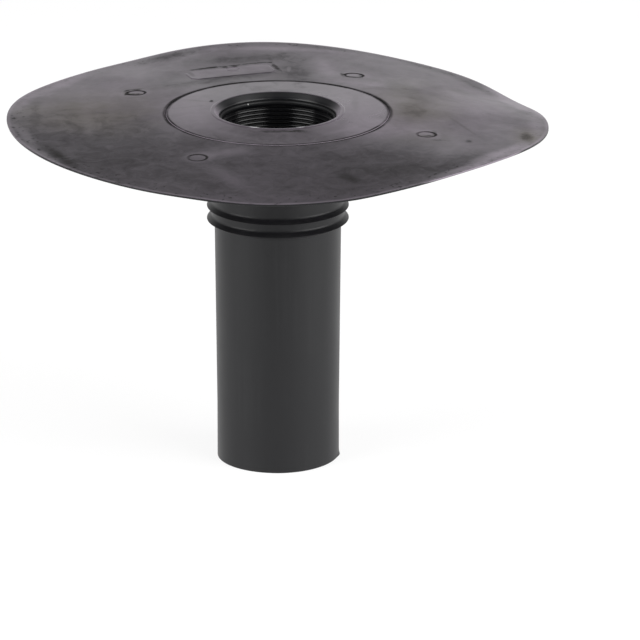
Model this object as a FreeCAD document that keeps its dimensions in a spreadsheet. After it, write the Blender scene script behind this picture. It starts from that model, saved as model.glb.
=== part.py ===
import FreeCAD, Part
import math
import os

import Sketcher

# Flat roof drain: a warped rubber flange moulded round the top of a plastic spigot pipe.
# The origin is on the drain's axis, in the plane of the roof deck, which is the flat
# underside of the hub. +Z points up, out of the inlet. Azimuths run from +X towards +Y.

SIZES = {
    # Spigot pipe
    "pipe_radius": 45.0,
    "pipe_length": 252.42,
    "pipe_wall": 5.4,
    "pipe_rim_bevel": 1.4,
    "seat_overrun": 2.0,
    "spigot_narrowing": 1.5,
    "spigot_length": 40.0,
    "end_bevel": 0.6,
    "rib_drop": 4.3,
    "rib_pitch": 3.0,
    "rib_groove_width": 1.8,
    "rib_groove_depth": 1.3,
    "rib_groove_count": 6,
    # Hub: the stiff moulded disc round the inlet
    "hub_radius": 80.0,
    "hub_height": 4.0,
    "hub_edge_height": 1.8,
    "hub_groove_width": 0.9,
    "hub_groove_depth": 0.5,
    "hub_root_bevel": 3.0,
    "mouth_cover": 3.7,
    "mouth_land": 0.8,
    "mouth_flare": 3.6,
    "mouth_flare_height": 4.2,
    "mouth_rounding": 1.2,
    # Collar: the sleeve under the hub, with two lips that seal in the rainwater pipe
    "collar_wall": 2.3,
    "first_lip_depth": 66.2,
    "lip_pitch": 9.5,
    "lip_count": 2,
    "lip_reach": 3.15,
    "lip_land": 0.3,
    "lip_undercut": 1.2,
    "lip_root_radius": 2.6,
    "collar_tail": 2.0,
    # Flange: the thin flexible sheet outside the hub
    "flange_radius": 192.0,
    "sheet_thickness": 1.4,
    "rim_droop": 6.1,
    "wave_growth": 1.7,
    "tilt_rise": 2.85,
    "tilt_azimuth": 226.0,
    "saddle_rise": 1.9,
    "saddle_azimuth": 137.0,
    "three_wave_rise": 3.9,
    "three_wave_azimuth": 85.0,
    "five_wave_rise": 1.1,
    "five_wave_azimuth": 26.0,
    "dip_depth": 5.3,
    "dip_azimuth": 26.4,
    "dip_spread": 13.4,
    "grid_pitch": 12.5,
    # Bare plate and round mould marks on the sheet
    "plate_length": 63.0,
    "plate_width": 21.0,
    "plate_height": 0.4,
    "plate_corner": 4.0,
    "plate_gap": 21.5,
    "plate_azimuth": 107.5,
    "mark_radius": 6.6,
    "mark_depth": 0.3,
    "mark_gap": 29.4,
    "mark_azimuth": 62.0,
    "mark_count": 4,
}

# Waves of the loose sheet, by the number of crests round the rim
WAVES = {1: "tilt", 2: "saddle", 3: "three_wave", 5: "five_wave"}

# Rules for what follows from the sizes, as expressions on the sheet
BORE_RADIUS = "(Sizes.pipe_radius - Sizes.pipe_wall)"
MOUTH_RADIUS = "(Sizes.pipe_radius - Sizes.mouth_cover)"
NECK_RADIUS = "(Sizes.pipe_radius + Sizes.collar_wall)"
LIP_RADIUS = f"({NECK_RADIUS} + Sizes.lip_reach)"
SPIGOT_RADIUS = "(Sizes.pipe_radius - Sizes.spigot_narrowing)"
MOUTH_EDGE = f"({MOUTH_RADIUS} + Sizes.mouth_flare)"
HUB_SLOPE = f"((Sizes.hub_height - Sizes.hub_edge_height) / (Sizes.hub_radius - {MOUTH_EDGE}))"
MOUTH_FOOT = "(Sizes.hub_height - Sizes.mouth_flare_height)"
PIPE_TOP = f"({MOUTH_FOOT} - Sizes.mouth_land)"
LAST_LIP = "(-Sizes.first_lip_depth - Sizes.lip_pitch * (Sizes.lip_count - 1))"
COLLAR_END = f"({LAST_LIP} - Sizes.collar_tail)"
PLATE_DISTANCE = "(Sizes.hub_radius + Sizes.plate_gap + Sizes.plate_width / 2)"
MARK_DISTANCE = "(Sizes.hub_radius + Sizes.mark_gap + Sizes.mark_radius)"

doc = FreeCAD.newDocument("flat_roof_drain")


def make_sheet():
    sheet = doc.addObject("Spreadsheet::Sheet", "Sizes")
    for row, (alias, size) in enumerate(SIZES.items(), start=1):
        sheet.set(f"A{row}", alias)
        sheet.set(f"B{row}", str(size))
        sheet.setAlias(f"B{row}", alias)
    doc.recompute()
    return sheet


def origin_feature(body, role):
    return next(f for f in body.Origin.OriginFeatures if f.Role == role)


def right_hand_arc(start, end, radius):
    """Arc that bends to the right on its way from start to end; it runs back from end to start."""
    half = (end - start) / 2
    to_right = FreeCAD.Vector(half.y, -half.x, 0).normalize()
    center = start + half + to_right * math.sqrt(radius ** 2 - half.Length ** 2)
    angles = [math.atan2(place.y - center.y, place.x - center.x) for place in (end, start)]
    return Part.ArcOfCircle(Part.Circle(center, FreeCAD.Vector(0, 0, 1), radius), *angles)


def add_profile(body, name, corners, closing_arc=None):
    """Closed outline in the XZ plane, each corner a pair of expressions for radius and height.

    The last side, back to the first corner, is an arc where its radius is given.
    """
    sketch = body.newObject("Sketcher::SketchObject", name)
    sketch.AttachmentSupport = (origin_feature(body, "XZ_Plane"), [""])
    sketch.MapMode = "FlatFace"
    places = []
    for radius, height in corners:
        x = float(sketch.evalExpression(radius))
        y = float(sketch.evalExpression(height))
        places.append(FreeCAD.Vector(x, y, 0))
    last = len(places) - 1
    ends = [(1, 2)] * len(places)
    for i in range(last):
        sketch.addGeometry(Part.LineSegment(places[i], places[i + 1]), False)
    if closing_arc:
        size = float(sketch.evalExpression(closing_arc))
        sketch.addGeometry(right_hand_arc(places[last], places[0], size), False)
        ends[last] = (2, 1)
        index = sketch.addConstraint(Sketcher.Constraint("Radius", last, size))
        sketch.renameConstraint(index, "closing_arc")
        sketch.setExpression("Constraints.closing_arc", closing_arc)
    else:
        sketch.addGeometry(Part.LineSegment(places[last], places[0]), False)
    for i in range(last + 1):
        after = (i + 1) % (last + 1)
        joint = Sketcher.Constraint("Coincident", i, ends[i][1], after, ends[after][0])
        sketch.addConstraint(joint)
    for i, (radius, height) in enumerate(corners):
        for kind, letter, rule, size in (
            ("DistanceX", "r", radius, places[i].x),
            ("DistanceY", "z", height, places[i].y),
        ):
            index = sketch.addConstraint(Sketcher.Constraint(kind, -1, 1, i, ends[i][0], size))
            sketch.renameConstraint(index, f"{letter}{i}")
            sketch.setExpression(f"Constraints.{letter}{i}", rule)
    return sketch


def revolve(body, name, sketch, kind="PartDesign::Revolution"):
    feature = body.newObject(kind, name)
    feature.Profile = sketch
    feature.ReferenceAxis = (sketch, ["V_Axis"])
    feature.Angle = 360.0
    sketch.Visibility = False
    doc.recompute()
    return feature


def ring_edges(shape, rings):
    """Names of the full circles about Z that lie at each given radius and height."""
    names = []
    for number, edge in enumerate(shape.Edges, start=1):
        curve = edge.Curve
        if not isinstance(curve, Part.Circle):
            continue
        for radius, height in rings:
            if abs(curve.Radius - radius) < 0.01 and abs(curve.Center.z - height) < 0.01:
                names.append(f"Edge{number}")
    return names


def add_fillet(body, name, base, rings, radius_rule):
    places = [[float(base.evalExpression(rule)) for rule in ring] for ring in rings]
    fillet = body.newObject("PartDesign::Fillet", name)
    fillet.Base = (base, ring_edges(base.Shape, places))
    fillet.setExpression("Radius", radius_rule)
    doc.recompute()
    return fillet


def make_hub(sizes):
    """Hub disc, flared mouth, collar and lips, turned about the drain's axis."""
    body = doc.addObject("PartDesign::Body", "hub_and_collar")
    slant = f"atan({HUB_SLOPE})"
    flare = "atan(Sizes.mouth_flare_height / Sizes.mouth_flare)"
    tangent = f"Sizes.mouth_rounding * tan(({slant} + {flare}) / 2)"
    groove_inside = "Sizes.hub_radius - Sizes.hub_groove_width"
    groove_floor = "Sizes.hub_edge_height - Sizes.hub_groove_depth"
    corners = [
        (f"{MOUTH_EDGE} + {tangent} * cos({slant})",
         f"Sizes.hub_height - {tangent} * sin({slant})"),
        (groove_inside, f"Sizes.hub_edge_height + Sizes.hub_groove_width * {HUB_SLOPE}"),
        (groove_inside, groove_floor),
        ("Sizes.hub_radius", groove_floor),
        ("Sizes.hub_radius", "0"),
        (f"{NECK_RADIUS} + Sizes.hub_root_bevel", "0"),
        (NECK_RADIUS, "-Sizes.hub_root_bevel"),
    ]
    lip_roots = []
    for lip in range(int(sizes.lip_count)):
        edge = f"-(Sizes.first_lip_depth + {lip} * Sizes.lip_pitch)"
        root = (NECK_RADIUS, f"{edge} + Sizes.lip_land + Sizes.lip_reach")
        corners.append(root)
        corners.append((LIP_RADIUS, f"{edge} + Sizes.lip_land"))
        corners.append((LIP_RADIUS, edge))
        corners.append((NECK_RADIUS, f"{edge} + Sizes.lip_undercut"))
        lip_roots.append(root)
    corners.append((NECK_RADIUS, COLLAR_END))
    corners.append(("Sizes.pipe_radius", COLLAR_END))
    corners.append(("Sizes.pipe_radius", PIPE_TOP))
    corners.append((MOUTH_RADIUS, PIPE_TOP))
    corners.append((MOUTH_RADIUS, MOUTH_FOOT))
    corners.append((f"{MOUTH_EDGE} - {tangent} * cos({flare})",
                    f"Sizes.hub_height - {tangent} * sin({flare})"))
    profile = add_profile(body, "hub_profile", corners, closing_arc="Sizes.mouth_rounding")
    turned = revolve(body, "turned_hub", profile)
    add_fillet(body, "lip_roots", turned, lip_roots, "Sizes.lip_root_radius")
    return body


def sheet_height(x, y, sizes):
    """Height of the sheet's top face over the deck plane: droop, waves and one dip at the rim."""
    reach = sizes.flange_radius - sizes.hub_radius
    share = (math.hypot(x, y) - sizes.hub_radius) / reach
    height = sizes.hub_edge_height - sizes.rim_droop * share
    if share <= 0:
        return height
    azimuth = math.degrees(math.atan2(y, x))
    growth = share ** sizes.wave_growth
    for crests, name in WAVES.items():
        turn = math.radians(azimuth - getattr(sizes, name + "_azimuth"))
        height += getattr(sizes, name + "_rise") * growth * math.cos(crests * turn)
    from_dip = (azimuth - sizes.dip_azimuth + 180) % 360 - 180
    return height - sizes.dip_depth * growth * math.exp(-((from_dip / sizes.dip_spread) ** 2))


def warped_layer(label, sizes, top, thickness):
    """Square slab that follows the sheet's warp, its top face at the given height over it."""
    steps = math.ceil(sizes.flange_radius / sizes.grid_pitch) + 1
    places = [i * sizes.grid_pitch for i in range(-steps, steps + 1)]
    grid = [
        [FreeCAD.Vector(x, y, sheet_height(x, y, sizes) + top) for y in places] for x in places
    ]
    surface = Part.BSplineSurface()
    surface.interpolate(grid)
    layer = doc.addObject("Part::Feature", label)
    layer.Shape = surface.toShape().extrude(FreeCAD.Vector(0, 0, -thickness))
    layer.Placement = FreeCAD.Placement()
    return layer


def combine(kind, label, parts):
    result = doc.addObject(kind, label)
    result.Shapes = parts
    return result


def cut(label, base, tool):
    result = doc.addObject("Part::Cut", label)
    result.Base = base
    result.Tool = tool
    return result


def upright_cylinder(label, radius_rule, height_rule, base_rule):
    cylinder = doc.addObject("Part::Cylinder", label)
    cylinder.setExpression("Radius", radius_rule)
    cylinder.setExpression("Height", height_rule)
    cylinder.setExpression("Placement.Base.z", base_rule)
    return cylinder


def make_flange(sizes):
    """The thin sheet: a warped slab trimmed to a ring outside the hub."""
    slab = warped_layer("sheet_slab", sizes, 0.0, sizes.sheet_thickness)
    span = "4 * Sizes.flange_radius"
    floor = "-2 * Sizes.flange_radius"
    rim = upright_cylinder("rim_cylinder", "Sizes.flange_radius", span, floor)
    inner = upright_cylinder("hub_cylinder", "Sizes.hub_radius", span, floor)
    ring = cut("sheet_ring", rim, inner)
    return combine("Part::MultiCommon", "flange_sheet", [slab, ring])


def make_plate(sizes):
    """Bare raised plate with cut corners, lying along the rim behind the inlet."""
    block = doc.addObject("Part::Box", "plate_block")
    block.setExpression("Length", "Sizes.plate_width")
    block.setExpression("Width", "Sizes.plate_length")
    block.setExpression("Height", "2 * Sizes.flange_radius")
    block.setExpression("Placement.Base.x", f"{PLATE_DISTANCE} - Sizes.plate_width / 2")
    block.setExpression("Placement.Base.y", "-Sizes.plate_length / 2")
    block.setExpression("Placement.Base.z", "-Sizes.flange_radius")
    doc.recompute()
    corners = doc.addObject("Part::Chamfer", "plate_corners")
    corners.Base = block
    upright = [n for n, edge in enumerate(block.Shape.Edges, start=1)
               if abs(edge.tangentAt(edge.FirstParameter).z) > 0.99]
    corners.Edges = [(n, sizes.plate_corner, sizes.plate_corner) for n in upright]
    corners.Placement = FreeCAD.Placement(
        FreeCAD.Vector(), FreeCAD.Rotation(FreeCAD.Vector(0, 0, 1), sizes.plate_azimuth))
    bite = sizes.sheet_thickness / 2
    layer = warped_layer("plate_layer", sizes, sizes.plate_height, sizes.plate_height + bite)
    return combine("Part::MultiCommon", "bare_plate", [layer, corners])


def make_marks(sizes):
    """Cutters for the round mould marks, evenly spaced round the sheet."""
    span = "2 * Sizes.flange_radius"
    cylinders = []
    for number in range(int(sizes.mark_count)):
        mark = upright_cylinder(f"mark_{number + 1}", "Sizes.mark_radius", span,
                                "-Sizes.flange_radius")
        turn = f"(Sizes.mark_azimuth + {number} * 360 / Sizes.mark_count) * 1 deg"
        mark.setExpression("Placement.Base.x", f"{MARK_DISTANCE} * cos({turn})")
        mark.setExpression("Placement.Base.y", f"{MARK_DISTANCE} * sin({turn})")
        cylinders.append(mark)
    columns = combine("Part::MultiFuse", "mark_columns", cylinders)
    clear = sizes.mark_depth + sizes.sheet_thickness
    layer = warped_layer("mark_layer", sizes, sizes.sheet_thickness, clear)
    return combine("Part::MultiCommon", "mark_cutters", [layer, columns])


def make_rubber_flange(sizes):
    """Flange, hub, mouth, collar and lips, moulded as one rubber piece."""
    hub = make_hub(sizes)
    sheet = make_flange(sizes)
    plate = make_plate(sizes)
    joined = combine("Part::MultiFuse", "joined_rubber", [hub, sheet, plate])
    return cut("rubber_flange", joined, make_marks(sizes))


def make_spigot_pipe():
    """Pipe seated in the collar: bevelled and ribbed inside at the top, narrowed at the foot."""
    body = doc.addObject("PartDesign::Body", "spigot_pipe")
    bottom = f"({PIPE_TOP} - Sizes.pipe_length)"
    taper_start = f"{COLLAR_END} - Sizes.seat_overrun"
    taper_end = f"{bottom} + Sizes.spigot_length"
    profile = add_profile(body, "pipe_profile", [
        (BORE_RADIUS, f"{PIPE_TOP} - Sizes.pipe_rim_bevel"),
        (f"{BORE_RADIUS} + Sizes.pipe_rim_bevel", PIPE_TOP),
        ("Sizes.pipe_radius", PIPE_TOP),
        ("Sizes.pipe_radius", taper_start),
        (SPIGOT_RADIUS, taper_end),
        (SPIGOT_RADIUS, f"{bottom} + Sizes.end_bevel"),
        (f"{SPIGOT_RADIUS} - Sizes.end_bevel", bottom),
        (BORE_RADIUS, bottom),
    ])
    revolve(body, "turned_pipe", profile)
    start = f"({PIPE_TOP} - Sizes.rib_drop)"
    end = f"{start} - Sizes.rib_groove_width"
    inside = f"{BORE_RADIUS} - Sizes.rib_groove_depth"
    notch = add_profile(body, "rib_groove_profile", [
        (inside, start),
        (BORE_RADIUS, start),
        (f"{BORE_RADIUS} + Sizes.rib_groove_depth", f"{start} - Sizes.rib_groove_width / 2"),
        (BORE_RADIUS, end),
        (inside, end),
    ])
    groove = revolve(body, "rib_groove", notch, "PartDesign::Groove")
    ribs = body.newObject("PartDesign::LinearPattern", "ribs")
    ribs.Originals = [groove]
    ribs.Direction = (origin_feature(body, "Z_Axis"), [""])
    ribs.Reversed = True
    ribs.setExpression("Occurrences", "Sizes.rib_groove_count")
    ribs.setExpression("Length", "Sizes.rib_pitch * (Sizes.rib_groove_count - 1)")
    body.Tip = ribs
    return body


def check_and_export(pieces):
    doc.recompute()
    for item in doc.Objects:
        if "Invalid" in item.State or "Error" in item.State:
            raise RuntimeError(f"{item.Name} failed to compute")
    for piece in pieces:
        if piece.Shape.isNull() or not piece.Shape.isValid():
            raise RuntimeError(f"{piece.Label} has no valid shape")
    os.makedirs("parts", exist_ok=True)
    for piece in pieces:
        piece.Shape.exportStep(f"parts/{piece.Label}.step")
        print(piece.Label, "volume", round(piece.Shape.Volume), "solids", len(piece.Shape.Solids))


sizes = make_sheet()
check_and_export([make_rubber_flange(sizes), make_spigot_pipe()])
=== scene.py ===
"""Flat roof drain: a warped rubber flange with its collar, moulded round a plastic spigot pipe.

The meshes are made in millimetres, in the frame of the CAD model: the origin is on the drain's
axis, in the plane of the roof deck, and +Z points up, out of the inlet. Azimuths run from +X
towards +Y. The camera looks along +Y.
"""

import math

import bpy
from mathutils import Euler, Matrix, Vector, noise
from mathutils.geometry import delaunay_2d_cdt


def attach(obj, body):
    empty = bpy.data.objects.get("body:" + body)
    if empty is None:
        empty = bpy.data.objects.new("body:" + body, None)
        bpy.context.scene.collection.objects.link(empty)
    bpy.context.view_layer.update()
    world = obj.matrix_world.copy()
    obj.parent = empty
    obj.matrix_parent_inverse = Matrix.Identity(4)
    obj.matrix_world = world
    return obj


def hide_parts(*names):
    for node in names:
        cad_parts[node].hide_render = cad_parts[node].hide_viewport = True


MM = 0.001

# Flange: the thin flexible sheet outside the hub
FLANGE_RADIUS = 191.95
SHEET_THICKNESS = 1.4
RIM_DROOP = 6.1
WAVE_GROWTH = 1.7
WAVES = (
    # crests round the rim, rise, azimuth of a crest
    (1, 2.85, 226.0),
    (2, 1.9, 137.0),
    (3, 3.9, 85.0),
    (5, 1.1, 26.0),
)
DIP_DEPTH = 5.3
DIP_AZIMUTH = 26.4
DIP_SPREAD = 13.4
RIM_TRIMS = (
    # azimuth, spread, rise at the rim
    (123.0, 9.0, -0.8),
    (252.0, 9.0, 0.7),
    (22.0, 9.0, 0.55),
    (286.0, 6.0, -0.35),
)
RIPPLE_RISE = 0.16
RIPPLE_LENGTH = 42.0

# Hub: the stiff disc round the inlet
HUB_RADIUS = 80.0
HUB_EDGE_HEIGHT = 1.8
HUB_CROWN_HEIGHT = 1.9
HUB_CROWN_RADIUS = 78.5
HUB_SLOPE = 0.0542
HUB_RIPPLE_RISE = 0.05
HUB_RIPPLE_LENGTH = 17.0
GROOVE_FLOOR = 1.2
GROOVE_MIDDLE = 79.6
BEAD_FOOT_RADIUS = 48.4
BEAD = (
    # radius and height, from the foot up and inwards
    (48.05, 3.548),
    (47.80, 3.595),
    (47.60, 3.690),
    (47.42, 3.800),
    (47.22, 3.880),
    (46.98, 3.925),
    (46.40, 3.935),
    (45.80, 3.932),
)
MOUTH_RADIUS = 41.3
MOUTH_ROUNDING = 1.19
MOUTH_EDGE_CENTER = (45.425, 2.74)
MOUTH_FOOT = -0.2

# Collar under the hub, with its two sealing lips
NECK_RADIUS = 47.3
HUB_ROOT_RADIUS = 3.0
LIP_RADIUS = 50.45
LIP_EDGES = (-75.7, -66.2)
LIP_LAND = 0.3
LIP_UNDERCUT = 1.2
LIP_ROOT_RADIUS = 2.6
COLLAR_END = -77.7

# Spigot pipe
PIPE_RADIUS = 45.0
PIPE_TOP = -1.0
PIPE_BOTTOM = -253.42
BORE_RADIUS = 39.6
BORE_ROUNDING = 1.6
SEAT_END = -79.7
TAPER_END = -213.42
SPIGOT_RADIUS = 43.5
RIB_START = -4.7
RIB_PITCH = 3.0
RIB_GROOVE_DEPTH = 1.25
RIB_GROOVES = 6
RIB_STEPS = 16
BORE_HEIGHTS = (-22.7, -26.0, -60.0, -100.0, -150.0, -200.0, -240.0)

# Round mould marks on the sheet: azimuth and distance from the axis
MARKS = ((61.8, 116.4), (150.6, 116.2), (241.4, 117.0), (334.8, 115.7))
MARK_RADIUS = 6.6
STAMP = (105.8, 118.8)
STAMP_RADIUS = 4.6
PLATE_AZIMUTH = 107.5
PLATE_DISTANCE = 113.0
PLATE_LENGTH = 63.0
PLATE_WIDTH = 23.0
PLATE_CORNER = 4.0

# Loops of mesh points along the outlines of the marks, stamp and plate: how far outside each
MARK_LOOPS = (-0.75, -0.4, -0.2, 0.0, 0.2, 0.4, 0.7, 1.1, 1.7)
STAMP_LOOPS = (-0.75, -0.4, -0.2, 0.0, 0.2, 0.4, 0.8, 1.4)
PLATE_LOOPS = (-0.7, -0.35, -0.1, 0.15, 0.4, 0.7, 1.1, 1.8)

COLUMNS = 360
PIPE_COLUMNS = 240
SHEET_PITCH = 3.0


# Shape of the sheet

def smooth_step(value, start, end):
    share = min(1.0, max(0.0, (value - start) / (end - start)))
    return share * share * (3.0 - 2.0 * share)


def hill(distance, spread):
    return math.exp(-((distance / spread) ** 2))


def at_azimuth(azimuth, distance):
    turn = math.radians(azimuth)
    return distance * math.cos(turn), distance * math.sin(turn)


def angle_between(azimuth, other):
    return (azimuth - other + 180.0) % 360.0 - 180.0


def sheet_height(x, y):
    """Height of the sheet's top face: droop, waves and a dip at the rim, and a slight ripple."""
    radius = math.hypot(x, y)
    share = (radius - HUB_RADIUS) / (FLANGE_RADIUS - HUB_RADIUS)
    height = HUB_EDGE_HEIGHT - RIM_DROOP * share
    if share <= 0.0:
        return height
    azimuth = math.degrees(math.atan2(y, x))
    growth = share ** WAVE_GROWTH
    for crests, rise, crest_azimuth in WAVES:
        height += rise * growth * math.cos(crests * math.radians(azimuth - crest_azimuth))
    height -= DIP_DEPTH * growth * hill(angle_between(azimuth, DIP_AZIMUTH), DIP_SPREAD)
    for trim_azimuth, spread, rise in RIM_TRIMS:
        height += rise * growth * hill(angle_between(azimuth, trim_azimuth), spread)
    place = Vector((x, y, 40.0)) / RIPPLE_LENGTH
    loose = smooth_step(share, 0.0, 0.25) * (1.0 - 0.8 * smooth_step(share, 0.85, 1.0))
    return height + RIPPLE_RISE * loose * noise.noise(place)


def ring_detail(distance, depth, halo):
    """A rounded groove along an outline, with a low halo outside it."""
    return -depth * hill(distance, 0.42) + halo * hill(distance - 1.0, 0.5)


def plate_distance(x, y):
    """Distance outside the bare plate's outline, negative inside it."""
    turn = math.radians(PLATE_AZIMUTH)
    out = x * math.cos(turn) + y * math.sin(turn) - PLATE_DISTANCE
    along = y * math.cos(turn) - x * math.sin(turn)
    corner_sum = (PLATE_LENGTH + PLATE_WIDTH) / 2 - PLATE_CORNER
    return max(
        abs(along) - PLATE_LENGTH / 2,
        abs(out) - PLATE_WIDTH / 2,
        (abs(along) + abs(out) - corner_sum) / math.sqrt(2.0),
    )


def sheet_top(x, y):
    """The sheet's top face with its moulded marks and plate."""
    height = sheet_height(x, y)
    for azimuth, distance in MARKS:
        mark_x, mark_y = at_azimuth(azimuth, distance)
        from_edge = math.hypot(x - mark_x, y - mark_y) - MARK_RADIUS
        if from_edge < 3.0:
            height += ring_detail(from_edge, 0.3, 0.07)
            height -= 0.12 * smooth_step(-from_edge, 0.1, 0.6)
    from_plate = plate_distance(x, y)
    if from_plate < 3.0:
        height += 0.34 * smooth_step(-from_plate, -0.5, 0.5)
        stamp_x, stamp_y = at_azimuth(*STAMP)
        from_stamp = math.hypot(x - stamp_x, y - stamp_y) - STAMP_RADIUS
        height += ring_detail(from_stamp, 0.22, 0.05)
    return height


# Mesh code

class Skin:
    """Points in millimetres and the faces between them, on their way to one closed mesh."""

    def __init__(self):
        self.points = []
        self.faces = []

    def add_points(self, points):
        first = len(self.points)
        self.points.extend(points)
        return list(range(first, len(self.points)))

    def add_ring(self, columns, place):
        """A ring about Z; place gives the point at an azimuth in radians."""
        return self.add_points(
            [place(2.0 * math.pi * column / columns) for column in range(columns)]
        )

    def bridge(self, ring, other):
        """Quads between two rings; they face out where the way from ring to other goes up."""
        count = len(ring)
        for i in range(count):
            after = (i + 1) % count
            self.faces.append((ring[i], ring[after], other[after], other[i]))

    def to_object(self, name):
        mesh = bpy.data.meshes.new(name)
        mesh.from_pydata([Vector(point) * MM for point in self.points], [], self.faces)
        mesh.polygons.foreach_set("use_smooth", [True] * len(mesh.polygons))
        mesh.update()
        made = bpy.data.objects.new(name, mesh)
        bpy.context.scene.collection.objects.link(made)
        weighted = made.modifiers.new("weighted_normals", "WEIGHTED_NORMAL")
        weighted.mode = "FACE_AREA"
        return made


def arc(center, radius, start, end, steps):
    """Points (radius, height) on an arc of a profile, angles in degrees, both ends included."""
    points = []
    for step in range(steps + 1):
        turn = math.radians(start + (end - start) * step / steps)
        points.append((center[0] + radius * math.cos(turn), center[1] + radius * math.sin(turn)))
    return points


def span(start, end, steps):
    """Points on a straight part of a profile, without its two ends."""
    shares = [step / steps for step in range(1, steps)]
    return [
        (start[0] + (end[0] - start[0]) * share, start[1] + (end[1] - start[1]) * share)
        for share in shares
    ]


def hub_profile():
    """From the sheet inwards over the groove and hub, then down the mouth to the pipe's seat."""
    sheet_shoulder = arc((80.25, HUB_EDGE_HEIGHT - 0.36), 0.35, 120.0, 180.0, 3)
    hub_shoulder = arc((HUB_CROWN_RADIUS, HUB_CROWN_HEIGHT - 0.6), 0.6, 0.0, 90.0, 7)
    profile = sheet_shoulder
    profile += [(79.88, GROOVE_FLOOR + 0.1), (79.75, GROOVE_FLOOR), (79.25, GROOVE_FLOOR)]
    profile += hub_shoulder
    rise = HUB_SLOPE * (HUB_CROWN_RADIUS - BEAD_FOOT_RADIUS)
    bead_foot = (BEAD_FOOT_RADIUS, HUB_CROWN_HEIGHT + rise)
    profile += span((HUB_CROWN_RADIUS, HUB_CROWN_HEIGHT), bead_foot, 10)
    profile += [bead_foot, *BEAD]
    profile += arc(MOUTH_EDGE_CENTER, MOUTH_ROUNDING, 84.0, 139.4, 12)
    profile += span(profile[-1], (MOUTH_RADIUS, MOUTH_FOOT), 6)
    profile += [(MOUTH_RADIUS, MOUTH_FOOT), (MOUTH_RADIUS, PIPE_TOP + 0.2)]
    profile += [(MOUTH_RADIUS + 0.06, PIPE_TOP + 0.06), (MOUTH_RADIUS + 0.2, PIPE_TOP)]
    profile += [(PIPE_RADIUS, PIPE_TOP)]
    return profile


def collar_profile():
    """From the foot of the sleeve's bore up over both lips to the hub's underside."""
    profile = [(PIPE_RADIUS, COLLAR_END + 0.2), (PIPE_RADIUS + 0.2, COLLAR_END)]
    profile += arc((NECK_RADIUS - 0.5, COLLAR_END + 0.5), 0.5, 270.0, 360.0, 4)
    for edge in LIP_EDGES:
        root = edge + LIP_LAND + LIP_RADIUS - NECK_RADIUS
        fillet_center = (
            NECK_RADIUS + LIP_ROOT_RADIUS,
            root + LIP_ROOT_RADIUS * math.tan(math.radians(22.5)),
        )
        profile += [(NECK_RADIUS, edge + LIP_UNDERCUT - 0.2)]
        profile += [(NECK_RADIUS + 0.2, edge + LIP_UNDERCUT - 0.05)]
        profile += [(LIP_RADIUS - 0.3, edge + 0.02)]
        profile += arc((LIP_RADIUS - 0.18, edge + 0.19), 0.18, 270.0, 405.0, 6)
        profile += span(profile[-1], (NECK_RADIUS + 0.76, root - 0.76), 3)
        profile += arc(fillet_center, LIP_ROOT_RADIUS, 225.0, 180.0, 7)
    profile += span(profile[-1], (NECK_RADIUS, -HUB_ROOT_RADIUS), 6)
    profile += arc(
        (NECK_RADIUS + HUB_ROOT_RADIUS, -HUB_ROOT_RADIUS), HUB_ROOT_RADIUS, 180.0, 90.0, 7)
    profile += span(profile[-1], (HUB_RADIUS - 0.25, 0.0), 4)
    profile += arc((HUB_RADIUS - 0.25, 0.25), 0.25, 270.0, 340.0, 3)
    return profile


def rim_profile():
    """From the hub outwards under the sheet and up round the rim, as heights over its top."""
    under = -SHEET_THICKNESS
    profile = [(HUB_RADIUS + 0.3, under)]
    profile += span((HUB_RADIUS, under), (FLANGE_RADIUS - 0.3, under), 26)
    profile += arc((FLANGE_RADIUS - 0.3, under + 0.3), 0.3, 270.0, 360.0, 4)
    profile += arc((FLANGE_RADIUS - 0.35, -0.35), 0.35, 0.0, 75.0, 4)
    return profile


def outline_of_circle(center, radius, count):
    return [
        (
            center[0] + radius * math.cos(2.0 * math.pi * i / count),
            center[1] + radius * math.sin(2.0 * math.pi * i / count),
        )
        for i in range(count)
    ]


def outline_of_plate(outside):
    """Points round the bare plate, that far outside its outline."""
    half_length = PLATE_LENGTH / 2 + outside
    half_width = PLATE_WIDTH / 2 + outside
    cut = PLATE_CORNER + outside * (2.0 - math.sqrt(2.0))
    corners = []
    for side_along, side_out in ((1, 1), (-1, 1), (-1, -1), (1, -1)):
        ends = [
            (side_along * half_length, side_out * (half_width - cut)),
            (side_along * (half_length - cut), side_out * half_width),
        ]
        corners += ends if side_along * side_out > 0 else reversed(ends)
    turn = math.radians(PLATE_AZIMUTH)
    points = []
    for i, (along, out) in enumerate(corners):
        next_along, next_out = corners[(i + 1) % len(corners)]
        steps = max(1, round(math.hypot(next_along - along, next_out - out) / 1.6))
        for step in range(steps):
            a = along + (next_along - along) * step / steps
            r = PLATE_DISTANCE + out + (next_out - out) * step / steps
            points.append((
                r * math.cos(turn) - a * math.sin(turn),
                r * math.sin(turn) + a * math.cos(turn),
            ))
    return points


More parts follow.
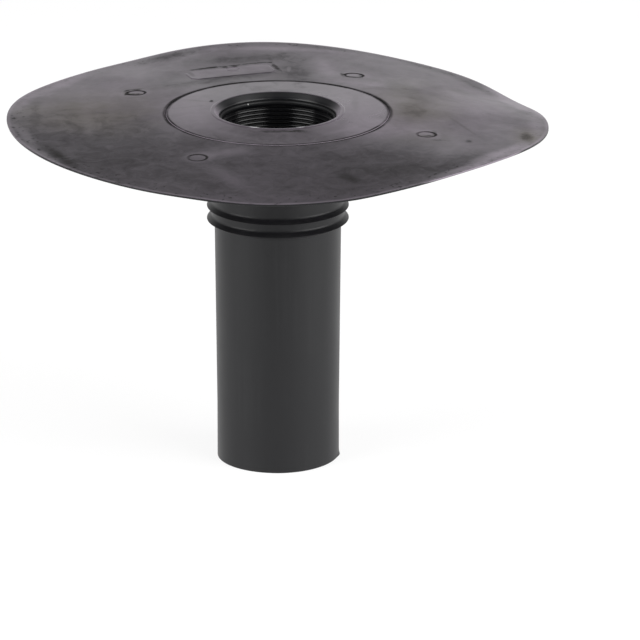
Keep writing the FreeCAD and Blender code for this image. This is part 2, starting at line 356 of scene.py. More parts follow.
def sheet_plan(inner, outer):
    """Plan points and triangles of the sheet's top between its two border outlines."""
    loops = [inner, outer]
    for azimuth, distance in MARKS:
        center = at_azimuth(azimuth, distance)
        for outside in MARK_LOOPS:
            loops.append(outline_of_circle(center, MARK_RADIUS + outside, 48))
    for outside in STAMP_LOOPS:
        loops.append(outline_of_circle(at_azimuth(*STAMP), STAMP_RADIUS + outside, 40))
    for outside in PLATE_LOOPS:
        loops.append(outline_of_plate(outside))
    points = []
    edges = []
    for loop in loops:
        first = len(points)
        points.extend(loop)
        edges += [(first + i, first + (i + 1) % len(loop)) for i in range(len(loop))]
    rings = round((FLANGE_RADIUS - HUB_RADIUS) / SHEET_PITCH)
    for number in range(1, rings):
        radius = HUB_RADIUS + (FLANGE_RADIUS - HUB_RADIUS) * number / rings
        count = round(2.0 * math.pi * radius / SHEET_PITCH)
        for place in outline_of_circle((0.0, 0.0), radius, count):
            if clear_of_marks(*place):
                points.append(place)
    found = delaunay_2d_cdt([Vector(point) for point in points], edges, [], 0, 1e-5)
    places = [tuple(point) for point in found[0]]
    sources = [set(source) for source in found[3]]
    border = set(range(len(inner)))
    triangles = [
        face for face in found[2] if not all(sources[corner] & border for corner in face)
    ]
    return places, sources, triangles


def clear_of_marks(x, y):
    for azimuth, distance in MARKS:
        mark_x, mark_y = at_azimuth(azimuth, distance)
        if abs(math.hypot(x - mark_x, y - mark_y) - MARK_RADIUS) < 2.4:
            return False
    stamp_x, stamp_y = at_azimuth(*STAMP)
    if abs(math.hypot(x - stamp_x, y - stamp_y) - STAMP_RADIUS) < 2.2:
        return False
    return abs(plate_distance(x, y)) > 2.4


def hub_ripple(radius, turn):
    """Slight unevenness of the hub's moulded top face."""
    if not 48.0 < radius < 78.6:
        return 0.0
    place = Vector((radius * math.cos(turn), radius * math.sin(turn), 7.0)) / HUB_RIPPLE_LENGTH
    inside = smooth_step(radius, 48.0, 52.0) * (1.0 - smooth_step(radius, 74.0, 78.4))
    return HUB_RIPPLE_RISE * inside * noise.noise(place)


def make_flange():
    """The one rubber piece: sheet, hub, mouth, collar and lips."""
    skin = Skin()

    def turned(radius, height):
        return skin.add_ring(COLUMNS, lambda turn: (
            radius * math.cos(turn),
            radius * math.sin(turn),
            height + hub_ripple(radius, turn),
        ))

    def on_sheet(radius, height):
        return skin.add_ring(COLUMNS, lambda turn: (
            radius * math.cos(turn),
            radius * math.sin(turn),
            height + sheet_height(radius * math.cos(turn), radius * math.sin(turn)),
        ))

    rings = [on_sheet(HUB_RADIUS + 0.25, 0.0)]
    rings += [turned(*place) for place in hub_profile() + collar_profile()]
    rings += [on_sheet(*place) for place in rim_profile()]
    rings.append(on_sheet(FLANGE_RADIUS - 0.7, 0.0))
    for ring, other in zip(rings, rings[1:]):
        skin.bridge(ring, other)
    inner = [skin.points[i][:2] for i in rings[0]]
    outer = [skin.points[i][:2] for i in rings[-1]]
    places, sources, triangles = sheet_plan(inner, outer)
    borders = rings[0] + rings[-1]
    numbers = []
    for place, source in zip(places, sources):
        known = [borders[i] for i in source if i < len(borders)]
        if known:
            numbers.append(known[0])
        else:
            numbers += skin.add_points([(place[0], place[1], sheet_top(*place))])
    skin.faces += [tuple(numbers[corner] for corner in face) for face in triangles]
    return skin.to_object("rubber_flange_skin")


# Pipe: how far its cut end is out of true, and the burr left on it
CUT_RISE = 0.9
CUT_REACH = 14.0
BURR_AZIMUTH = -7.0
BURR_SPREAD = 6.0
BURR_REACH = 0.85


def pipe_profile():
    """Closed profile: out along the cut end, up outside, in over the top and down the bore."""
    bottom = PIPE_BOTTOM
    profile = arc((SPIGOT_RADIUS - 0.8, bottom + 0.8), 0.8, 270.0, 360.0, 7)
    profile += [(SPIGOT_RADIUS, bottom + lift) for lift in (1.6, 2.8, 5.0, 9.0, 15.0, 25.0)]
    profile += [(SPIGOT_RADIUS, TAPER_END)]
    profile += span((SPIGOT_RADIUS, TAPER_END), (PIPE_RADIUS, SEAT_END), 12)
    profile += [(PIPE_RADIUS, SEAT_END), (PIPE_RADIUS - 0.01, COLLAR_END)]
    profile += [(PIPE_RADIUS - 0.01, -40.0)]
    profile += arc((PIPE_RADIUS - 0.31, PIPE_TOP - 0.31), 0.3, 0.0, 90.0, 3)
    rounding = BORE_ROUNDING
    profile += arc((BORE_RADIUS + rounding, PIPE_TOP - 0.01 - rounding), rounding, 90.0, 180.0, 10)
    for groove in range(RIB_GROOVES):
        start = RIB_START - groove * RIB_PITCH
        for step in range(RIB_STEPS):
            share = step / RIB_STEPS
            to_cusp = 1.0 - abs(2.0 * share - 1.0)
            depth = RIB_GROOVE_DEPTH * (1.0 - math.cos(math.pi / 2.0 * to_cusp))
            profile.append((BORE_RADIUS + depth, start - RIB_PITCH * share))
    profile += [(BORE_RADIUS, height) for height in BORE_HEIGHTS]
    profile += arc((BORE_RADIUS + 0.3, bottom + 0.3), 0.3, 180.0, 270.0, 3)
    return profile


def pipe_place(radius, height, turn):
    """A point of the pipe, with its uneven cut and the burr at the spigot end."""
    azimuth = math.degrees(turn)
    above = height - PIPE_BOTTOM
    near_cut = 1.0 - smooth_step(above, 0.0, CUT_REACH)
    height += CUT_RISE * near_cut * max(0.0, math.cos(turn)) ** 1.5
    if radius > BORE_RADIUS + 0.6:
        burr = hill(angle_between(azimuth, BURR_AZIMUTH), BURR_SPREAD)
        radius += BURR_REACH * burr * hill(above - 0.8, 1.3)
    return radius * math.cos(turn), radius * math.sin(turn), height


def make_pipe():
    skin = Skin()
    rings = []
    for radius, height in pipe_profile():
        rings.append(skin.add_ring(
            PIPE_COLUMNS, lambda turn: pipe_place(radius, height, turn)))
    for ring, other in zip(rings, rings[1:] + rings[:1]):
        skin.bridge(ring, other)
    return skin.to_object("spigot_pipe_skin")


# Materials

class Nodes:
    """Short calls to build one node tree."""

    def __init__(self, tree):
        self.tree = tree
        tree.nodes.clear()

    def add(self, kind, inputs=(), **settings):
        node = self.tree.nodes.new(kind)
        for name, value in settings.items():
            setattr(node, name, value)
        for name, value in dict(inputs).items():
            self.put(node.inputs[name], value)
        return node

    def put(self, socket, value):
        if isinstance(value, bpy.types.NodeSocket):
            self.tree.links.new(value, socket)
        else:
            socket.default_value = value

    def math(self, operation, first, second=0.0):
        node = self.add("ShaderNodeMath", {0: first, 1: second}, operation=operation)
        return node.outputs[0]

    def clamp(self, value):
        """The value, but never under 0 or over 1."""
        return self.math("MINIMUM", self.math("MAXIMUM", value, 0.0), 1.0)

    def blend(self, share, first, second):
        return self.add("ShaderNodeMix", {0: share, 2: first, 3: second}).outputs[0]

    def vector(self, operation, first, second):
        node = self.add("ShaderNodeVectorMath", {0: first, 1: second}, operation=operation)
        return node.outputs["Vector"]

    def length(self, vector):
        node = self.add("ShaderNodeVectorMath", {0: vector}, operation="LENGTH")
        return node.outputs["Value"]

    def ramp(self, value, start, end, low=0.0, high=1.0):
        """Smooth step from low at start to high at end."""
        node = self.add(
            "ShaderNodeMapRange",
            {"Value": value, "From Min": start, "From Max": end, "To Min": low, "To Max": high},
            interpolation_type="SMOOTHSTEP",
        )
        return node.outputs["Result"]

    def mix(self, share, first, second):
        node = self.add("ShaderNodeMix", data_type="RGBA")
        self.put(node.inputs[0], share)
        for socket, value in ((node.inputs[6], first), (node.inputs[7], second)):
            self.put(socket, value if isinstance(value, bpy.types.NodeSocket) else (*value, 1.0))
        return node.outputs[2]

    def noise(self, place, scale, detail=4.0, roughness=0.5, distortion=0.0):
        node = self.add("ShaderNodeTexNoise", {
            "Vector": place,
            "Scale": scale,
            "Detail": detail,
            "Roughness": roughness,
            "Distortion": distortion,
        })
        return node.outputs["Fac"]


def new_material(name):
    """A material and the short calls that build its node tree."""
    material = bpy.data.materials.new(name)
    material.use_nodes = True
    return material, Nodes(material.node_tree)


def from_axis(nodes, place):
    """x, y and z of a place, the place put down to z = 0, and its distance from the axis."""
    x, y, z = nodes.add("ShaderNodeSeparateXYZ", {0: place}).outputs
    flat = nodes.add("ShaderNodeCombineXYZ", {0: x, 1: y}).outputs[0]
    return x, y, z, flat, nodes.length(flat)


RUBBER_BLACK = (0.005, 0.005, 0.006)
SHEET_GREY = (0.050, 0.043, 0.052)
SHEET_BROWN = (0.061, 0.049, 0.041)
SHEET_SMOKE = (0.034, 0.029, 0.034)
HUB_GREY = (0.067, 0.057, 0.069)
# Dust and dirt colours, also used for painted light and painted shade
DUST_AND_LIGHT = (0.184, 0.158, 0.188)
DIRT_AND_SHADE = (0.009, 0.008, 0.008)
# colour of the painted highlights on the mouth's near edge
PAINTED_GLINT = (0.45, 0.44, 0.46)

# Stains and painted light on the top face. Each is an oval: its centre x and y in mm, half its
# length along and across, the turn of its length from +X in degrees, and a tone: up to 1 lighter
# (dust, painted light), to -1 darker (dirt, painted shade).
PAINTED_LIGHT_FIELDS = (
    # wide, soft painted light and shade in place of sheen: lighter behind and right, darker in
    # front
    (0.0, 140.0, 185.0, 70.0, 0.0, 0.34),
    (136.0, 10.0, 54.0, 90.0, 0.0, 0.42),
    (92.0, 12.0, 34.0, 60.0, 0.0, -0.20),
    (-44.0, 84.0, 56.0, 52.0, 20.0, -0.20),
    (24.0, -132.0, 130.0, 62.0, 0.0, -0.14),
    (-112.0, 66.0, 76.0, 66.0, 35.0, 0.30),
    (-125.0, -85.0, 70.0, 90.0, 20.0, -0.26),
    (75.0, -128.0, 75.0, 44.0, 12.0, -0.16),
    (82.0, -36.0, 30.0, 22.0, 25.0, 0.35),
    # on the hub: painted light on its sides, painted shade in front
    (60.0, 5.0, 28.0, 62.0, 0.0, 0.62),
    (-62.0, 2.0, 24.0, 56.0, 0.0, 0.42),
    (0.0, -60.0, 60.0, 16.0, 0.0, -0.12),
)
SMEARS = (
    # dust along the rim, left behind, left and left in front
    (-160.0, 88.0, 48.0, 9.0, 61.0, 0.50),
    (-181.0, 40.0, 34.0, 6.0, 78.0, 0.40),
    (-165.0, -92.0, 34.0, 4.0, -61.0, 0.25),
    (-178.0, -48.0, 30.0, 4.5, -75.0, 0.25),
    # dark bands that follow the rim on the left
    (-172.0, 4.0, 44.0, 5.0, 91.0, -0.14),
    (-146.0, 12.0, 50.0, 6.0, 88.0, -0.10),
    (-122.0, -4.0, 40.0, 4.0, 96.0, -0.07),
    (-134.0, -20.0, 46.0, 4.0, 93.0, 0.10),
    (-153.0, -96.0, 26.0, 5.0, -66.0, -0.34),
    # in front: a pale wipe by the mark, a slanting streak and dark ground beside them
    (-38.0, -93.0, 21.0, 12.0, 8.0, 0.30),
    (-34.0, -144.0, 34.0, 8.0, -56.0, 0.22),
    (-58.0, -150.0, 30.0, 9.0, -47.0, -0.10),
    (-20.0, -116.0, 18.0, 8.0, 0.0, -0.12),
    (84.0, -134.0, 38.0, 17.0, 10.0, -0.10),
    (50.0, -146.0, 14.0, 5.0, -55.0, -0.20),
    (52.0, -108.0, 22.0, 10.0, 20.0, -0.06),
    (12.0, -166.0, 60.0, 14.0, 0.0, -0.08),
    # along the rim on the right: dust, painted light and shade where the rim curls behind, and
    # darker ground inside
    (128.0, -84.0, 28.0, 18.0, 20.0, 0.16),
    (158.0, -94.0, 46.0, 8.0, 59.0, 0.85),
    (126.0, -138.0, 26.0, 4.5, 42.0, 0.55),
    (183.0, -10.0, 44.0, 6.0, 90.0, 0.35),
    # painted light on the curled rim's edge
    (172.0, 68.0, 46.0, 8.0, -68.0, 0.95),
    (148.0, 46.0, 24.0, 44.0, 0.0, 0.32),
    # painted shade in a band inside the curled rim
    (145.0, 107.0, 34.0, 5.0, -53.0, -0.34),
    (112.0, 146.0, 28.0, 4.0, -38.0, -0.26),
    (40.0, 180.0, 34.0, 4.0, -12.0, -0.26),
    (90.0, 46.0, 12.0, 50.0, 5.0, -0.14),
    (100.0, 4.0, 24.0, 13.0, 0.0, -0.18),
    # behind: dark ground round the plate, dust beyond it and beside the mark
    (12.0, 114.0, 14.0, 44.0, 3.0, -0.36),
    (-26.0, 145.0, 52.0, 16.0, 8.0, -0.42),
    (-46.0, 86.0, 48.0, 9.0, 24.0, -0.30),
    (-80.0, 98.0, 16.0, 26.0, 0.0, -0.20),
    (0.0, 174.0, 66.0, 6.0, 0.0, 0.36),
    (36.0, 114.0, 7.0, 36.0, 8.0, 0.34),
    (57.0, 80.0, 26.0, 11.0, -15.0, 0.36),
    (62.0, 132.0, 36.0, 7.0, -45.0, -0.14),
    # on the hub
    (-57.0, 27.0, 13.0, 2.0, -28.0, -0.32),
    (-62.0, 12.0, 13.0, 2.0, 8.0, -0.20),
    (55.0, 18.0, 3.0, 24.0, 0.0, -0.26),
    (-36.0, -52.0, 20.0, 3.0, -38.0, 0.16),
    (44.0, -47.0, 18.0, 3.0, 42.0, 0.16),
)
# Small blots, painted shade along a fold on the right, dirt by the plate, and dirt and painted
# shade round the marks
BLOTS = (
    (-80.0, 160.0, 28.0, 9.0, 33.0, -0.42),
    (176.5, -45.0, 6.0, 20.0, 5.0, -0.40),
    # painted shade along a fold in the sheet
    (131.0, -24.0, 30.0, 1.6, -68.0, -0.24),
    (112.0, -63.0, 5.0, 2.0, 0.0, -0.28),
    (120.0, -64.0, 4.0, 1.6, 0.0, -0.22),
    (134.0, -64.0, 2.8, 5.0, 0.0, -0.45),
    (8.0, 115.0, 1.5, 8.0, 0.0, 0.30),
    (-38.0, 121.0, 2.6, 4.0, 0.0, -0.55),
    (-31.0, 124.0, 2.4, 3.5, 0.0, -0.50),
    (-52.0, 120.5, 15.0, 2.4, 18.0, -0.75),
    (-18.0, 131.0, 17.0, 2.0, 18.0, -0.45),
    (-1.5, 121.0, 2.0, 14.0, 15.0, -0.50),
    (-62.0, 104.0, 1.8, 10.0, 15.0, -0.40),
    # round the marks' edges: dirt and painted shade
    (-103.0, 53.5, 7.5, 3.2, -10.0, -1.00),
    (-108.0, 60.0, 2.4, 7.0, 0.0, -0.60),
    (-102.0, 67.0, 6.5, 2.6, 10.0, -0.70),
    (53.0, 97.0, 6.5, 2.6, 0.0, -0.90),
    (46.8, 103.0, 2.0, 6.5, 0.0, -0.80),
    (59.8, 103.0, 1.8, 6.5, 0.0, -0.60),
    (105.0, -52.5, 6.5, 2.4, 10.0, -0.65),
    (110.5, -46.0, 2.0, 6.0, 0.0, -0.50),
    (-47.0, 24.5, 1.9, 4.0, 0.0, -0.85),
    (2.0, -51.0, 17.0, 2.6, 0.0, -0.34),
    (14.0, -49.5, 6.0, 1.8, 15.0, -0.30),
)
# Two painted highlights on the mouth's near edge
GLINTS = (
    (-16.6, -42.4, 4.2, 1.2, -21.0, 1.0),
    (16.1, -42.4, 3.8, 1.2, 21.0, 1.0),
)
# Brown ground: ovals as above, with the share of brown
BROWN_GROUND = (
    (-130.0, 20.0, 55.0, 55.0, 0.0, 0.9),
    (100.0, 20.0, 40.0, 70.0, 0.0, 0.7),
    (178.0, -42.0, 14.0, 34.0, 0.0, 1.0),
)
# Darkening in the hub's groove, dirt and painted shade: what lies everywhere, and patches by
# azimuth, sharpness and amount
GROOVE_SHADE_AND_DIRT_BASE = 0.6
GROOVE_SHADE_AND_DIRT = (
    (118.0, 12.0, 1.17),
    (155.0, 60.0, 0.78),
    (62.0, 60.0, 1.3),
    (30.0, 10.0, 0.65),
    (210.0, 14.0, 1.04),
    (270.0, 40.0, 0.65),
    (300.0, 12.0, 1.04),
    (332.0, 60.0, 0.91),
)
# Light rings of dust round the marks
HALO_RADIUS = 12.0
HALO_TONE = 0.22

# A gradient spans this many times its oval, so that the oval's tone can fade beyond the outline
OVAL_REACH = 3.0


def sum_of_ovals(nodes, place, ovals, ragged, start, end):
    """Each oval's tone at a place, fading from start to end in shares of the oval."""
    ragged = nodes.math("DIVIDE", ragged, OVAL_REACH)
    far = 1.0 - end / OVAL_REACH
    close = 1.0 - start / OVAL_REACH
    total = None
    for x, y, along, across, turn, tone in ovals:
        local = nodes.add("ShaderNodeMapping", {
            "Vector": place,
            "Location": (x * MM, y * MM, 0.0),
            "Rotation": (0.0, 0.0, math.radians(turn)),
            "Scale": (along * OVAL_REACH * MM, across * OVAL_REACH * MM, 1000.0),
        }, vector_type="TEXTURE").outputs[0]
        near = nodes.add("ShaderNodeTexGradient", {0: local}, gradient_type="SPHERICAL")
        near = nodes.math("SUBTRACT", near.outputs["Fac"], ragged)
        share = nodes.ramp(near, far, close, 0.0, tone)
        total = share if total is None else nodes.math("ADD", total, share)
    return total


def stain_and_light_tone(nodes, place):
    """Dust, dirt, painted light and painted shade of all the ovals at a place, with ragged edges.
    """
    coarse = nodes.math("SUBTRACT", nodes.noise(place, 34.0, 7.0, 0.66, 0.6), 0.5)
    fine = nodes.math("SUBTRACT", nodes.noise(place, 190.0, 5.0, 0.7, 0.8), 0.5)
    slight = nodes.math("MULTIPLY", coarse, 1.2)
    ragged = nodes.math("ADD", slight, nodes.math("MULTIPLY", fine, 0.7))
    torn = nodes.math("ADD", ragged, nodes.math("MULTIPLY", fine, 1.3))
    tone = sum_of_ovals(nodes, place, PAINTED_LIGHT_FIELDS, slight, 0.0, 1.7)
    tone = nodes.math("ADD", tone, sum_of_ovals(nodes, place, SMEARS, ragged, 0.1, 1.45))
    tone = nodes.math("ADD", tone, sum_of_ovals(nodes, place, BLOTS, torn, 0.3, 1.3))
    halos = [(*at_azimuth(*mark), HALO_RADIUS, HALO_RADIUS, 0.0, HALO_TONE) for mark in MARKS]
    tone = nodes.math("ADD", tone, sum_of_ovals(nodes, place, halos, slight, 0.5, 1.2))
    mottle = nodes.math("SUBTRACT", nodes.noise(place, 75.0, 7.0, 0.7, 0.9), 0.5)
    tone = nodes.math("ADD", tone, nodes.math("MULTIPLY", mottle, 0.75))
    return nodes.math("ADD", tone, nodes.math("MULTIPLY", plate_face(nodes, place), 0.26))


def plate_face(nodes, place):
    """1 on the bare plate's face, 0 outside it."""
    x, y = at_azimuth(PLATE_AZIMUTH, PLATE_DISTANCE)
    local = nodes.add("ShaderNodeMapping", {
        "Vector": place,
        "Location": (x * MM, y * MM, 0.0),
        "Rotation": (0.0, 0.0, math.radians(PLATE_AZIMUTH)),
    }, vector_type="TEXTURE").outputs[0]
    out, along, _ = nodes.add("ShaderNodeSeparateXYZ", {0: local}).outputs
    beside = nodes.math("SUBTRACT", nodes.math("ABSOLUTE", out), PLATE_WIDTH / 2 * MM)
    beyond = nodes.math("SUBTRACT", nodes.math("ABSOLUTE", along), PLATE_LENGTH / 2 * MM)
    return nodes.ramp(nodes.math("MAXIMUM", beside, beyond), -0.9 * MM, 0.5 * MM, 1.0, 0.0)


def groove_dirt_and_shade(nodes, x, y):
    """Amount of dirt and painted shade in the hub's groove, by azimuth."""
    azimuth = nodes.math("ARCTAN2", y, x)
    amount = GROOVE_SHADE_AND_DIRT_BASE
    for patch_azimuth, sharpness, patch in GROOVE_SHADE_AND_DIRT:
        off = nodes.math("SUBTRACT", azimuth, math.radians(patch_azimuth))
        near = nodes.math("MAXIMUM", nodes.math("COSINE", off), 0.0)
        near = nodes.math("POWER", near, sharpness)
        amount = nodes.math("ADD", amount, nodes.math("MULTIPLY", near, patch))
    return amount


def dirt_and_shade_in_grooves(nodes, place, x, y, flat, radius):
    """Dark lines in the hub's groove and in the marks' outlines: dirt, and painted shade in these
    recesses.
    """
    from_groove = nodes.math("ABSOLUTE", nodes.math("SUBTRACT", radius, GROOVE_MIDDLE * MM))
    patchy = nodes.ramp(nodes.noise(place, 45.0, 3.0, 0.6), 0.36, 0.56, 0.45, 1.0)
    in_groove = nodes.math("MULTIPLY", groove_dirt_and_shade(nodes, x, y), patchy)
    dirt_and_shade = nodes.ramp(from_groove, 0.7 * MM, 2.9 * MM, in_groove, 0.0)
    dirt_and_shade = nodes.math("MINIMUM", dirt_and_shade, 1.0)
    for azimuth, distance in MARKS:
        mark_x, mark_y = at_azimuth(azimuth, distance)
        offset = nodes.vector("SUBTRACT", flat, (mark_x * MM, mark_y * MM, 0.0))
        from_edge = nodes.math("SUBTRACT", nodes.length(offset), MARK_RADIUS * MM)
        from_edge = nodes.math("ABSOLUTE", from_edge)
        line = nodes.ramp(from_edge, 0.4 * MM, 1.5 * MM, patchy, 0.0)
        dirt_and_shade = nodes.math("MAXIMUM", dirt_and_shade, line)
    return dirt_and_shade


def clean_rubber(nodes, place, cloud, on_hub):
    """The top face before the stains: grey or brown sheet, paler hub, and smoky wipes."""
    tint = nodes.math("MULTIPLY", nodes.math("SUBTRACT", cloud, 0.5), 1.5)
    brown = sum_of_ovals(nodes, place, BROWN_GROUND, tint, 0.0, 1.5)
    streak_place = nodes.vector("MULTIPLY", place, (1.0, 2.6, 1.0))
    streak = nodes.noise(streak_place, 38.0, 6.0, 0.65, 1.6)
    sheet = nodes.mix(brown, SHEET_GREY, SHEET_BROWN)
    smoke = nodes.math("MULTIPLY", nodes.ramp(cloud, 0.44, 0.70), 0.4)
    sheet = nodes.mix(smoke, sheet, SHEET_SMOKE)
    wiped = nodes.math("MULTIPLY", nodes.ramp(streak, 0.52, 0.78), 0.4)
    sheet = nodes.mix(wiped, sheet, SHEET_SMOKE)
    hub = nodes.mix(nodes.math("MULTIPLY", wiped, 0.5), HUB_GREY, SHEET_SMOKE)
    return nodes.mix(on_hub, sheet, hub)


def top_tone(nodes, place, radius):
    """Tone of the top face: the stains and painted light, a painted highlight along the rim's
    rounded edge, and specks in a band inside the rim.
    """
    # painted highlight: a lighter band where the rim's edge rounds over
    rim_edge_highlight = nodes.ramp(radius, 188.5 * MM, 190.5 * MM, 0.0, 0.4)
    tone = nodes.math("ADD", stain_and_light_tone(nodes, place), rim_edge_highlight)
    speckle = nodes.ramp(nodes.noise(place, 260.0, 2.0, 0.5), 0.60, 0.70, 0.0, -0.4)
    band = nodes.ramp(radius, 170.0 * MM, 186.0 * MM)
    return nodes.math("ADD", tone, nodes.math("MULTIPLY", speckle, band))


def mouth_colour(nodes, y, z, radius):
    """Black inside the mouth, with painted light on the near half of its cone that fades to black
    towards the far side.
    """
    on_cone = nodes.ramp(radius, 41.4 * MM, 42.0 * MM)
    in_mouth = nodes.math("MULTIPLY", on_cone, nodes.ramp(z, -0.6 * MM, 0.0))
    # painted light on the cone's near half, fading to painted shade at its far side
    near_side_light = nodes.math("POWER", nodes.ramp(y, -6.0 * MM, 26.0 * MM, 1.0, 0.0), 2.0)
    return nodes.mix(nodes.math("MULTIPLY", in_mouth, near_side_light), RUBBER_BLACK, DUST_AND_LIGHT)


def make_rubber():
    """Black rubber, dulled by dust and smoky stains on the face that lies up."""
    material, nodes = new_material("weathered_rubber")
    coordinates = nodes.add("ShaderNodeTexCoord")
    place = coordinates.outputs["Object"]
    x, y, z, flat, radius = from_axis(nodes, place)
    dirt_and_shade = dirt_and_shade_in_grooves(nodes, place, x, y, flat, radius)
    normal_z = nodes.add("ShaderNodeSeparateXYZ", {0: coordinates.outputs["Normal"]}).outputs[2]
    lies_up = nodes.ramp(normal_z, 0.6, 0.95)
    outside_mouth = nodes.ramp(radius, 44.2 * MM, 45.8 * MM)
    above_collar = nodes.ramp(z, -30.0 * MM, -20.0 * MM)
    top = nodes.math("MULTIPLY", lies_up, nodes.math("MULTIPLY", outside_mouth, above_collar))
    on_hub = nodes.ramp(radius, 79.9 * MM, 78.9 * MM)

    cloud = nodes.noise(place, 11.0, 5.0, 0.6, 0.9)
    lit = clean_rubber(nodes, place, cloud, on_hub)
    tone = top_tone(nodes, place, radius)
    # lighter for dust and painted light, darker for dirt and painted shade
    lit = nodes.mix(nodes.clamp(tone), lit, DUST_AND_LIGHT)
    soiled_and_shaded = nodes.clamp(nodes.math("MULTIPLY", tone, -1.6))
    lit = nodes.mix(soiled_and_shaded, lit, DIRT_AND_SHADE)
    frayed = nodes.math("MULTIPLY", nodes.math("SUBTRACT", cloud, 0.5), 0.5)
    # painted highlights: two pale glints on the mouth's near edge
    painted_glint = sum_of_ovals(nodes, place, GLINTS, frayed, 0.6, 1.1)
    colour = nodes.mix(top, mouth_colour(nodes, y, z, radius), lit)
    colour = nodes.mix(painted_glint, colour, PAINTED_GLINT)
    colour = nodes.mix(nodes.math("MULTIPLY", dirt_and_shade, top), colour, DIRT_AND_SHADE)

    sheet_rough = nodes.ramp(cloud, 0.3, 0.7, 0.33, 0.43)
    hub_rough = nodes.ramp(cloud, 0.3, 0.7, 0.27, 0.30)
    top_rough = nodes.blend(on_hub, sheet_rough, hub_rough)
    below_rough = nodes.ramp(radius, 42.0 * MM, 42.6 * MM, 0.3, 0.42)
    rough = nodes.blend(top, below_rough, top_rough)
    rough = nodes.math("ADD", rough, nodes.math("MULTIPLY", dirt_and_shade, 0.5))
    rough = nodes.math("ADD", rough, nodes.math("MULTIPLY", soiled_and_shaded, 0.35))

    grain = nodes.noise(place, 1400.0, 3.0, 0.6)
    waves = nodes.noise(place, 120.0, 4.0, 0.55, 0.6)
    relief = nodes.math("ADD", nodes.math("MULTIPLY", grain, 0.03), waves)
    relief = nodes.math("MULTIPLY", relief, nodes.ramp(on_hub, 0.0, 1.0, 1.0, 0.25))
    bump = nodes.add("ShaderNodeBump", {"Strength": 0.3, "Distance": 0.05 * MM, "Height": relief})
    shader = nodes.add("ShaderNodeBsdfPrincipled", {
        "Base Color": colour,
        "Roughness": rough,
        "Normal": bump.outputs["Normal"],
        "Specular IOR Level": 0.3,
    })
    nodes.add("ShaderNodeOutputMaterial", {"Surface": shader.outputs[0]})
    return material


PIPE_GREY = (0.0095, 0.0095, 0.0106)
PIPE_PALE = (0.0135, 0.0135, 0.0148)
# Painted shade: the bore is coloured far darker than the outside
PIPE_BORE_SHADE = (0.0025, 0.0025, 0.003)
# A white speck on the pipe's inner edge
SPECK = (-21.3, 34.0, -2.2)
SPECK_WHITE = (0.45, 0.45, 0.45)


def make_plastic():
    """Smooth extruded plastic with faint lines drawn along the pipe, and painted shade in its bore.
    """
    material, nodes = new_material("pipe_plastic")
    place = nodes.add("ShaderNodeTexCoord").outputs["Object"]
    drawn_place = nodes.vector("MULTIPLY", place, (1.0, 1.0, 0.02))
    drawn = nodes.noise(drawn_place, 260.0, 4.0, 0.6)
    cloud = nodes.noise(place, 16.0, 4.0, 0.5, 0.4)
    pale = nodes.math("MULTIPLY", nodes.ramp(drawn, 0.4, 0.75), nodes.ramp(cloud, 0.3, 0.7))
    _, _, z, _, radius = from_axis(nodes, place)
    inside = nodes.ramp(radius, 42.6 * MM, 41.8 * MM)
    colour = nodes.mix(inside, nodes.mix(pale, PIPE_GREY, PIPE_PALE), PIPE_BORE_SHADE)
    from_speck = nodes.vector("SUBTRACT", place, [measure * MM for measure in SPECK])
    from_speck = nodes.length(from_speck)
    colour = nodes.mix(nodes.ramp(from_speck, 0.4 * MM, 0.8 * MM, 1.0, 0.0), colour, SPECK_WHITE)
    outer_rough = nodes.ramp(cloud, 0.3, 0.7, 0.40, 0.46)
    inner_rough = nodes.ramp(z, -4.0 * MM, -3.0 * MM, 0.18, 0.5)
    rough = nodes.blend(inside, outer_rough, inner_rough)
    grain = nodes.noise(place, 1800.0, 2.0, 0.5)
    relief = nodes.math("ADD", nodes.math("MULTIPLY", grain, 0.25), drawn)
    strength = nodes.ramp(inside, 0.0, 1.0, 0.2, 0.0)
    bump = nodes.add(
        "ShaderNodeBump", {"Strength": strength, "Distance": 0.02 * MM, "Height": relief})
    shader = nodes.add("ShaderNodeBsdfPrincipled", {
        "Base Color": colour,
        "Roughness": rough,
        "Normal": bump.outputs["Normal"],
        "Specular IOR Level": 0.3,
    })
    nodes.add("ShaderNodeOutputMaterial", {"Surface": shader.outputs[0]})
    return material


# Studio

FLOOR_RADIUS = 7.0
FLOOR_COLUMNS = 96
FLOOR_DIFFUSE = 0.2
FLOOR_GLOW = 0.82
SKY_LEVEL = 0.42
LAMP_LEVEL = 4.2
LAMP_HEIGHT = 2.7
LAMP_DISTANCE = 2.4
LAMP_ELEVATION = 24.0
LAMPS = (
    # azimuth from the camera's side, width
    (-60.0, 1.75),
    (62.0, 2.6),
)


def seen_directly(nodes):
    """1 for rays that show the background itself: from the camera, by gloss or through glass.

    The second value is 1 for rays from the camera alone.
    """
    path = nodes.add("ShaderNodeLightPath").outputs
    seen = nodes.math("MAXIMUM", path["Is Camera Ray"], path["Is Glossy Ray"])
    return nodes.math("MAXIMUM", seen, path["Is Transmission Ray"]), path["Is Camera Ray"]


def make_world():
    """White backdrop that gets darker high up and in front in gloss, and an even soft sky."""
    world = bpy.data.worlds.new("studio")
    world.use_nodes = True
    bpy.context.scene.world = world
    nodes = Nodes(world.node_tree)
    seen, by_camera = seen_directly(nodes)
    direction = nodes.add("ShaderNodeTexCoord").outputs["Generated"]
    _, back, up = nodes.add("ShaderNodeSeparateXYZ", {0: direction}).outputs
    ceiling = nodes.ramp(up, 0.20, 0.45, 1.0, 0.08)
    front = nodes.ramp(back, -0.35, -0.75, 1.0, 0.2)
    level = nodes.math("MAXIMUM", nodes.math("MULTIPLY", ceiling, front), by_camera)
    backdrop = nodes.add("ShaderNodeBackground", {"Color": (1.0, 1.0, 1.0, 1.0), "Strength": level})
    sky = nodes.add(
        "ShaderNodeBackground", {"Color": (1.0, 1.0, 1.0, 1.0), "Strength": SKY_LEVEL})
    both = nodes.add(
        "ShaderNodeMixShader", {0: seen, 1: sky.outputs[0], 2: backdrop.outputs[0]})
    nodes.add("ShaderNodeOutputWorld", {"Surface": both.outputs[0]})


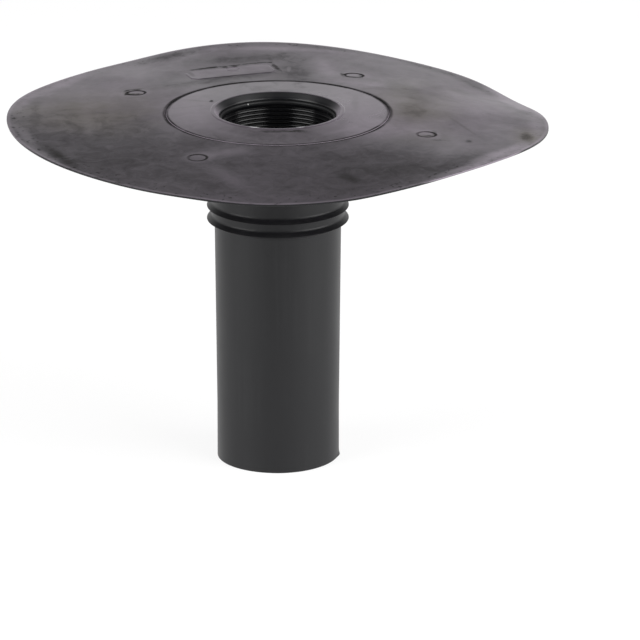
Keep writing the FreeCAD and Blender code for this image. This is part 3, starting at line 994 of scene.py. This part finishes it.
def make_floor():
    """Plain pale floor; its colour reaches white where the drain casts no shadow on it."""
    skin = Skin()
    center = skin.add_points([(0.0, 0.0, PIPE_BOTTOM)])[0]
    ring = skin.add_ring(FLOOR_COLUMNS, lambda turn: (
        FLOOR_RADIUS / MM * math.cos(turn), FLOOR_RADIUS / MM * math.sin(turn), PIPE_BOTTOM))
    for i, number in enumerate(ring):
        skin.faces.append((center, number, ring[(i + 1) % FLOOR_COLUMNS]))
    floor = skin.to_object("floor")
    floor.modifiers.clear()
    material, nodes = new_material("pale_floor")
    seen, _ = seen_directly(nodes)
    plain = nodes.add("ShaderNodeBsdfDiffuse", {"Color": (0.8, 0.8, 0.8, 1.0)})
    shaded = nodes.add("ShaderNodeBsdfDiffuse", {"Color": (FLOOR_DIFFUSE,) * 3 + (1.0,)})
    glow = nodes.add(
        "ShaderNodeEmission", {"Color": (1.0, 1.0, 1.0, 1.0), "Strength": FLOOR_GLOW})
    white = nodes.add("ShaderNodeAddShader", {0: shaded.outputs[0], 1: glow.outputs[0]})
    both = nodes.add("ShaderNodeMixShader", {0: seen, 1: plain.outputs[0], 2: white.outputs[0]})
    nodes.add("ShaderNodeOutputMaterial", {"Surface": both.outputs[0]})
    floor.data.materials.append(material)


def make_lamps():
    """Two large softboxes, left and right of the camera."""
    for number, (azimuth, width) in enumerate(LAMPS, start=1):
        turn = math.radians(azimuth - 90.0)
        tilt = math.radians(LAMP_ELEVATION)
        away = Vector((
            math.cos(turn) * math.cos(tilt), math.sin(turn) * math.cos(tilt), math.sin(tilt)))
        lamp = bpy.data.lights.new(f"softbox_{number}", "AREA")
        lamp.shape = "RECTANGLE"
        lamp.size = width
        lamp.size_y = LAMP_HEIGHT
        lamp.energy = LAMP_LEVEL * math.pi * width * LAMP_HEIGHT
        holder = bpy.data.objects.new(lamp.name, lamp)
        holder.location = away * LAMP_DISTANCE
        holder.rotation_euler = away.to_track_quat("Z", "Y").to_euler()
        holder.visible_camera = False
        bpy.context.scene.collection.objects.link(holder)


# Camera: fitted to the photograph, whose frame is 640 by 640 pixels
CAMERA_PLACE = Vector((0.0, -6.2706, 1.8772))
CAMERA_AIM = Vector((0.02973, -0.0421, -0.13895))
CAMERA_LENS = 519.58
CAMERA_ROLL = -0.00016


def make_camera():
    camera = bpy.data.cameras.new("camera")
    camera.lens = CAMERA_LENS
    camera.sensor_width = 36.0
    camera.clip_end = 100.0
    holder = bpy.data.objects.new("camera", camera)
    holder.location = CAMERA_PLACE
    look = (CAMERA_AIM - CAMERA_PLACE).to_track_quat("-Z", "Y")
    roll = Euler((0.0, 0.0, CAMERA_ROLL)).to_quaternion()
    holder.rotation_euler = (look @ roll).to_euler()
    bpy.context.scene.collection.objects.link(holder)
    bpy.context.scene.camera = holder


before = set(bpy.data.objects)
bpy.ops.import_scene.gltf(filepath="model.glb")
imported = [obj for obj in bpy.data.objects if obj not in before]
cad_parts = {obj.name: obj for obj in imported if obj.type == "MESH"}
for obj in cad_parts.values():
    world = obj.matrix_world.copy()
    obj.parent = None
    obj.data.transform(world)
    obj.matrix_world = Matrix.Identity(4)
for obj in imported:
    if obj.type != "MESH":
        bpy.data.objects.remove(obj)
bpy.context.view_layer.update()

flange = make_flange()
flange.data.materials.append(make_rubber())
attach(flange, "root")
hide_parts("rubber_flange")

pipe = make_pipe()
pipe.data.materials.append(make_plastic())
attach(pipe, "root")
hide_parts("spigot_pipe")

make_world()
make_floor()
make_lamps()
make_camera()
bpy.context.scene.view_settings.view_transform = "Standard"
